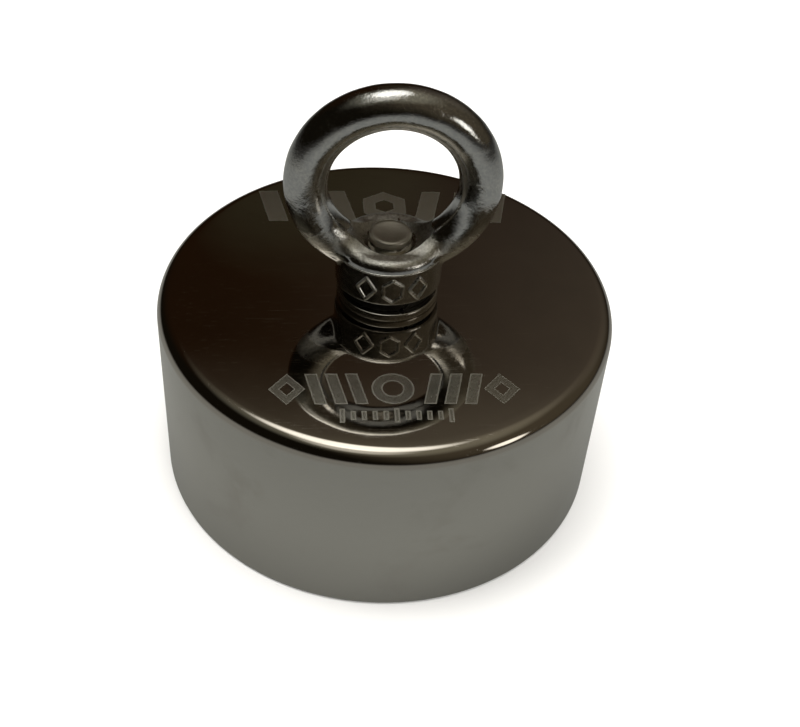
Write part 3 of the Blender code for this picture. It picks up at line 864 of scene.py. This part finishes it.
def build_eye_nut(material):
    eye = eye_blank(material)
    cut(eye, thread_tool(material))
    mouth = THREAD_CREST + MOUTH_CHAMFER
    for face, outward in ((NUT_LOW.z, -1), (COLLAR_TOP, 1)):
        reach = 3 * MM
        past = face + outward * reach
        cone = [(0.0, face - outward * mouth), (mouth + reach, past), (0.0, past)]
        cut(eye, turned("mouth_tool", cone, material, segments=128, closed=False))
    eye.data.shade_smooth()
    eye.data.set_sharp_from_angle(angle=math.radians(34))
    eye.data.materials.clear()
    eye.data.materials.append(material)
    return stands_in(eye, "eye", "eye_stainless", "eye_nut")


def collar_point(angle, height, proud):
    """A point on the collar's oval side, raised by proud."""
    radius = float(collar_radius(height)) + proud
    return (COLLAR_OVAL * radius * math.cos(angle), radius * math.sin(angle), height)


def collar_bead(outline, width, rise, material, name):
    """A raised rounded bead that follows a closed outline of (arc length, height) on the collar."""
    turns = [math.radians(angle) for angle in range(0, 181, 30)]
    section = [(math.cos(turn) * width / 2, math.sin(turn) * rise) for turn in turns]
    section += [(-width / 2, -0.3 * MM), (width / 2, -0.3 * MM)]
    path = np.array(outline)
    along = np.roll(path, -1, axis=0) - np.roll(path, 1, axis=0)
    along /= np.linalg.norm(along, axis=1)[:, None]
    points = []
    for (length, height), (run, climb) in zip(path, along):
        for sideways, proud in section:
            angle = -math.pi / 2 + (length - climb * sideways) / (COLLAR_OVAL * COLLAR_FOOT_RADIUS)
            points.append(collar_point(angle, height + run * sideways, proud))
    faces = grid_faces(len(path), len(section), wrap_rows=True, wrap_columns=True)
    return make_piece(name, points, faces, material, sharp_deg=60)


def build_collar_marks(material):
    """Three raised figures on the collar's front: a hexagon between two lozenges."""
    middle = NUT_LOW.z + 3.55 * MM
    for name, place, sides, squash in (
        ("collar_mark_left", -4.9 * MM, 4, 0.74),
        ("collar_mark_middle", 0.3 * MM, 6, 0.80),
        ("collar_mark_right", 5.4 * MM, 4, 0.74),
    ):
        figure = regular((place, middle), 2.6 * MM, sides, turn_deg=90, squash=squash)
        bead = collar_bead(dense(figure, steps=10), 0.72 * MM, 0.36 * MM, material, name)
        stands_in(bead, "eye", "eye_stainless")


def build_parting_line(material):
    """The fine ridge that the forging dies leave around the collar."""
    ridge, inset, segments = 0.2 * MM, 0.06 * MM, 240
    angles = np.linspace(0, math.tau, segments, endpoint=False)
    middle = float(collar_radius(COLLAR_PARTING)) - inset
    section = arc((middle, COLLAR_PARTING), ridge, 0, 330, 11)
    points = level_rings(section, angles, COLLAR_OVAL).reshape(-1, 3)
    faces = grid_faces(len(section), segments, wrap_rows=True, wrap_columns=True)
    line = make_piece("collar_parting_line", points, faces, material, sharp_deg=60)
    stands_in(line, "eye", "eye_stainless")


# ---------------------------------------------------------------- pulling face

def build_pulling_face():
    nickel = magnet_material()
    bore = FACE_WASHER_HIGH.x + 0.02 * MM
    section = rounded_ring(bore, MAGNET_HIGH.x, MAGNET_LOW.z, MAGNET_HIGH.z, 0.45 * MM, 0.35 * MM)
    magnet = turned("lower_magnet_detailed", section, nickel)
    stands_in(magnet, "magnet", "magnet_nickel", "magnet_ring_lower")
    inner, outer = MAGNET_HIGH.x + 0.01 * MM, CAVITY_RADIUS - 0.01 * MM
    middle, half = (inner + outer) / 2, (outer - inner) / 2
    dip = 0.22 * MM
    resin = [
        (middle + half * share, EPOXY_LOW.z + dip * (1 - share * share) - 0.15 * MM * share**6)
        for share in np.linspace(-1, 1, 21)
    ]
    resin += [(outer, EPOXY_HIGH.z), (inner, EPOXY_HIGH.z)]
    stands_in(turned("potting_detailed", resin, epoxy_material()), "magnet", "black_epoxy", "epoxy_ring")
    zinc = turned_steel("face_washer_zinc", (0.60, 0.61, 0.62), (0.50, 0.50, 0.49), 0.24, grain=2600)
    low, high = FACE_WASHER_LOW.z, FACE_WASHER_HIGH.z
    edge = 0.25 * MM
    seat = HEAD_RADIUS + 0.1 * MM
    washer = arc((FACE_WASHER_HIGH.x - edge, low + edge), edge, 270, 360, 4)
    washer += arc((FACE_WASHER_HIGH.x - edge, high - edge), edge, 0, 90, 4)
    cone_foot = BOLT_LOW.z + HEAD_LAND
    washer += [(STEM_HOLE_RADIUS, high), (STEM_HOLE_RADIUS, cone_foot + seat - STEM_HOLE_RADIUS)]
    washer += [(seat, cone_foot), (seat, low + 0.2 * MM), (seat + 0.2 * MM, low)]
    stands_in(turned("face_washer_detailed", washer, zinc), "magnet", "zinc_steel", "countersunk_washer")
    for node in ("magnet_ring_middle", "magnet_ring_upper"):
        repaint(node, nickel)
    repaint("centring_ring", nylon_material())
    repaint("spacer_bush", turned_steel("bush_brass", (0.74, 0.57, 0.28), (0.60, 0.44, 0.20), 0.28))


def repaint(node, material):
    """Gives a CAD node that stays a finished material."""
    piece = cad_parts[node]
    for slot in piece.material_slots:
        slot.material = material


# ---------------------------------------------------------------- stage, light and camera

def towards(azimuth_deg, elevation_deg):
    """Direction with its azimuth counted from +Y towards +X."""
    azimuth, elevation = math.radians(azimuth_deg), math.radians(elevation_deg)
    flat = math.cos(elevation)
    return (flat * math.sin(azimuth), flat * math.cos(azimuth), math.sin(elevation))


# What polished metal sees: direction, inner and outer reach in degrees, and the light there
SOFT_LIGHTS = (
    (towards(-20, 80), 8, 22, (2.1, 2.08, 1.98)),
    (towards(-150, 75), 5, 19, (0.62, 0.61, 0.57)),
    (towards(127, 15), 5, 12, (2.2, 2.15, 2.0)),
    (towards(105, 42), 8, 80, (0.085, 0.070, 0.047)),
    (towards(40, 36), 6, 34, (0.030, 0.031, 0.029)),
    (towards(5, 38), 5, 60, (0.012, 0.003, 0.0)),
    (towards(0, 31), 3, 9, (0.018, 0.022, 0.014)),
)


def studio_world():
    """White where the camera looks, a dim room with soft lights where the metal looks, and soft fill."""
    world = bpy.data.worlds.new("studio")
    bpy.context.scene.world = world
    world.use_nodes = True
    world.cycles.sampling_method = "NONE"
    tree = world.node_tree
    tree.nodes.clear()
    direction = tree.nodes.new("ShaderNodeTexCoord").outputs["Generated"]
    height = tree.nodes.new("ShaderNodeSeparateXYZ")
    tree.links.new(direction, height.inputs[0])

    def background(colour, strength):
        shade = tree.nodes.new("ShaderNodeBackground")
        shade.inputs["Color"].default_value = (*colour, 1)
        if isinstance(strength, float):
            shade.inputs["Strength"].default_value = strength
        else:
            tree.links.new(strength, shade.inputs["Strength"])
        return shade.outputs[0]

    def smooth(value, low, high):
        node = tree.nodes.new("ShaderNodeMapRange")
        node.interpolation_type = "SMOOTHSTEP"
        tree.links.new(value, node.inputs["Value"])
        node.inputs["From Min"].default_value = low
        node.inputs["From Max"].default_value = high
        return node.outputs[0]

    def joined(kind, first, second, share=None):
        node = tree.nodes.new(kind)
        if share:
            tree.links.new(share, node.inputs[0])
        tree.links.new(first, node.inputs[-2])
        tree.links.new(second, node.inputs[-1])
        return node.outputs[0]

    room = background((0.008, 0.0065, 0.004), 1.0)
    haze = background((0.19, 0.185, 0.145), smooth(height.outputs["Z"], 0.67, 0.97))
    room = joined("ShaderNodeAddShader", room, haze)
    for aim, inner, outer, light in SOFT_LIGHTS:
        facing = tree.nodes.new("ShaderNodeVectorMath")
        facing.operation = "DOT_PRODUCT"
        tree.links.new(direction, facing.inputs[0])
        facing.inputs[1].default_value = aim
        far, near = math.cos(math.radians(outer)), math.cos(math.radians(inner))
        reach = smooth(facing.outputs["Value"], far, near)
        room = joined("ShaderNodeAddShader", room, background(light, reach))
    path = tree.nodes.new("ShaderNodeLightPath")
    fill = background((1.0, 0.985, 0.96), 0.45)
    seen = joined("ShaderNodeMixShader", fill, room, path.outputs["Is Glossy Ray"])
    white = background((1.0, 1.0, 1.0), 1.0)
    seen = joined("ShaderNodeMixShader", seen, white, path.outputs["Is Camera Ray"])
    output = tree.nodes.new("ShaderNodeOutputWorld")
    tree.links.new(seen, output.inputs["Surface"])


def build_floor():
    """A wide pale matte floor; to reflections it shows a painted grey table instead, with painted light
    brightening it beside the pot and painted shade darkening it past its edge.
    """
    size = 12.0
    points = [(-size, -size, 0), (size, -size, 0), (size, size, 0), (-size, size, 0)]
    graph = Graph("pale_floor")
    path = graph.tree.nodes.new("ShaderNodeLightPath")
    grain = graph.noise(40, detail=4, rough=0.6)
    x, y, _ = graph.parts()
    away = graph.from_axis(x, y)
    mottled = graph.noise(14, detail=4, rough=0.6)
    # Painted shade: reflections see the table go dark past about a third of a metre out, standing in for
    # a dark room
    edge = graph.spread(graph.math("MULTIPLY_ADD", mottled, 0.3, away), 0.32, 0.75, 0.0, 1.0)
    # Painted light: reflections see the table brighter within about two pot radii, where the pot's own
    # shadow falls
    beside = graph.spread(away, POT_RADIUS, 2.2 * POT_RADIUS, 0.0, 1.0)
    painted_light_table = graph.mixed(beside, (0.268, 0.272, 0.256), (0.186, 0.191, 0.183))
    painted_reflected_table = graph.mixed(edge, painted_light_table, (0.015, 0.014, 0.013))
    pale = graph.mixed(grain, (0.90, 0.90, 0.89), (0.93, 0.93, 0.92))
    seen = graph.mixed(path.outputs["Is Glossy Ray"], pale, painted_reflected_table)
    floor = make_piece("floor", points, [(0, 1, 2, 3)], graph.finish(seen, 0.9, metallic=0.0))
    floor.location.z = -0.02 * MM


def soft_light(name, from_direction, spread_deg, strength, colour):
    """Even light from one side, as soft as a large cloth, which polished metal doesn't mirror."""
    data = bpy.data.lights.new(name, "SUN")
    data.angle = math.radians(spread_deg)
    data.energy = strength
    data.color = colour
    lamp = bpy.data.objects.new(name, data)
    lamp.rotation_euler = Vector(from_direction).to_track_quat("Z", "Y").to_euler()
    lamp.visible_camera = False
    lamp.visible_glossy = False
    bpy.context.scene.collection.objects.link(lamp)


def build_lights():
    soft_light("key", (-0.35, 0.05, 0.91), 25, 1.15, (1.0, 0.98, 0.95))
    soft_light("overhead", (0.05, 0.10, 1.06), 35, 1.95, (1.0, 0.98, 0.95))
    soft_light("front_fill", (0.35, -0.9, 0.86), 45, 1.15, (1.0, 0.99, 0.97))


def build_camera():
    data = bpy.data.cameras.new("camera")
    data.lens = CAMERA_LENS_MM
    data.sensor_width = 36.0
    data.clip_start = 0.01
    camera = bpy.data.objects.new("camera", data)
    back = (CAMERA_PLACE - CAMERA_AIM).normalized()
    level = PULL_AXIS.cross(back).normalized()
    basis = Matrix((level, back.cross(level), back)).transposed()
    turn = Matrix.Rotation(math.radians(CAMERA_ROLL_DEG), 3, "Z")
    camera.matrix_world = Matrix.Translation(CAMERA_PLACE) @ (basis @ turn).to_4x4()
    bpy.context.scene.collection.objects.link(camera)
    bpy.context.scene.camera = camera


# ---------------------------------------------------------------- assembly

build_pot(pot_material())
build_plate_marks()
build_flat_washer()
build_spring_washer()
build_bolt(bolt_material())
stainless = eye_material()
build_eye_nut(stainless)
marks_steel = turned_steel("collar_marks_stainless", (0.66, 0.655, 0.62), (0.56, 0.55, 0.52), 0.24)
build_collar_marks(marks_steel)
build_parting_line(marks_steel)
build_pulling_face()
studio_world()
build_floor()
build_lights()
build_camera()
bpy.context.scene.view_settings.view_transform = "Standard"
